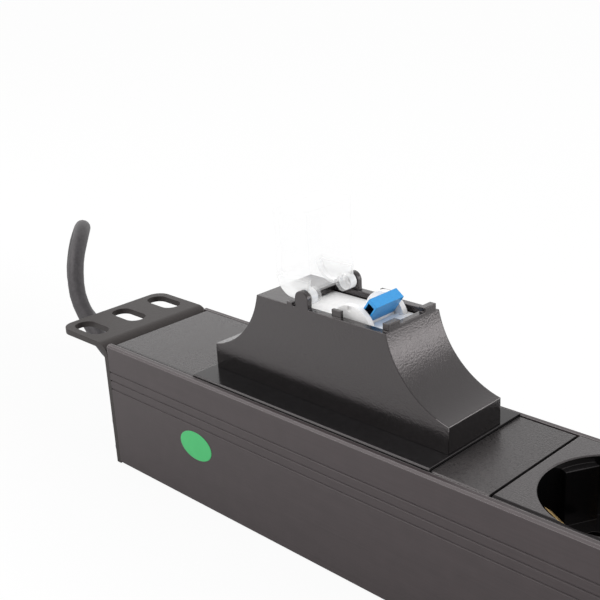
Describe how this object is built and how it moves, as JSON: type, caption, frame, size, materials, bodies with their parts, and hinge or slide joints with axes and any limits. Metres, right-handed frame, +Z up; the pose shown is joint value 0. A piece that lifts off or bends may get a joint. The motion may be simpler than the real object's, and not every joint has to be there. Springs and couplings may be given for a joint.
{
  "type": "rack power strip",
  "caption": "Black rack power strip: grooved channel with slotted ears, round earthed outlets, and a hooded circuit breaker with a blue lever under a clear flip cover.",
  "frame": {"origin": "middle of the channel's underside", "axes": "+X along the strip from the lead's end to the far outlets, +Z up out of the outlets, -Y towards the viewer of the picture"},
  "size_m": [0.5602, 0.1109, 0.1016],
  "materials": {
    "anodised_black": "black anodised, fine satin grain",
    "bracket_black": "black powder coat, fine texture",
    "plate_black": "fine grained black plastic",
    "gloss_black": "smooth black plastic",
    "hood_black": "matt grained black plastic",
    "socket_black": "smooth black plastic",
    "clear_plastic": "clear moulded plastic",
    "breaker_white": "white moulded plastic",
    "lever_blue": "blue moulded plastic",
    "steel": "zinc plated",
    "brass": "rolled strip",
    "wire_brown": "insulation",
    "wire_blue": "insulation",
    "wire_earth": "insulation",
    "cord_black": "matt black jacket",
    "tie_black": "woven hook and loop strap"
  },
  "bodies": {
    "strip": {"channel": "anodised_black", "left_bracket": "bracket_black", "right_bracket": "bracket_black", "left_screws": "steel", "right_screws": "steel", "label_cover": "plate_black", "breaker_base": "gloss_black", "breaker_hood": "hood_black", "filler_plate": "plate_black", "breaker_case_near": "breaker_white", "breaker_case_far": "breaker_white", "breaker_rivets": "steel", "lever_pin": "steel", "terminal_clamps": "brass", "terminal_screws": "steel", "din_rail": "steel", "rail_rivets": "steel", "socket_1": "socket_black", "socket_2": "socket_black", "socket_3": "socket_black", "socket_4": "socket_black", "socket_5": "socket_black", "socket_6": "socket_black", "earth_clip_1": "brass", "earth_clip_2": "brass", "earth_clip_3": "brass", "earth_clip_4": "brass", "earth_clip_5": "brass", "earth_clip_6": "brass", "live_bar": "brass", "neutral_bar": "brass", "earth_bar": "brass", "live_lead": "wire_brown", "neutral_lead": "wire_blue", "earth_lead": "wire_earth", "live_link": "wire_brown", "neutral_link": "wire_blue", "earth_link": "wire_earth", "earth_lug": "steel", "earth_screw": "steel", "cord_gland": "hood_black", "gland_nut": "hood_black", "power_cord": "cord_black", "cord_hank": "cord_black", "cord_ties": "tie_black", "plug_lead": "cord_black", "plug_body": "cord_black", "plug_pins": "steel", "plug_earth_straps": "brass"},
    "cover": {"clear_cover": "clear_plastic"},
    "lever": {"breaker_lever": "lever_blue", "lever_drum": "breaker_white"}
  },
  "joints": [
    {"name": "cover_hinge", "type": "hinge", "parent": "strip", "child": "cover", "pos_m": [-0.13035, 0, 0.07615], "axis": [0, 1, 0], "range_deg": [0, 90]},
    {"name": "lever_pivot", "type": "hinge", "parent": "strip", "child": "lever", "pos_m": [-0.1149, 0, 0.0696], "axis": [0, -1, 0], "range_deg": [0, 72]}
  ]
}
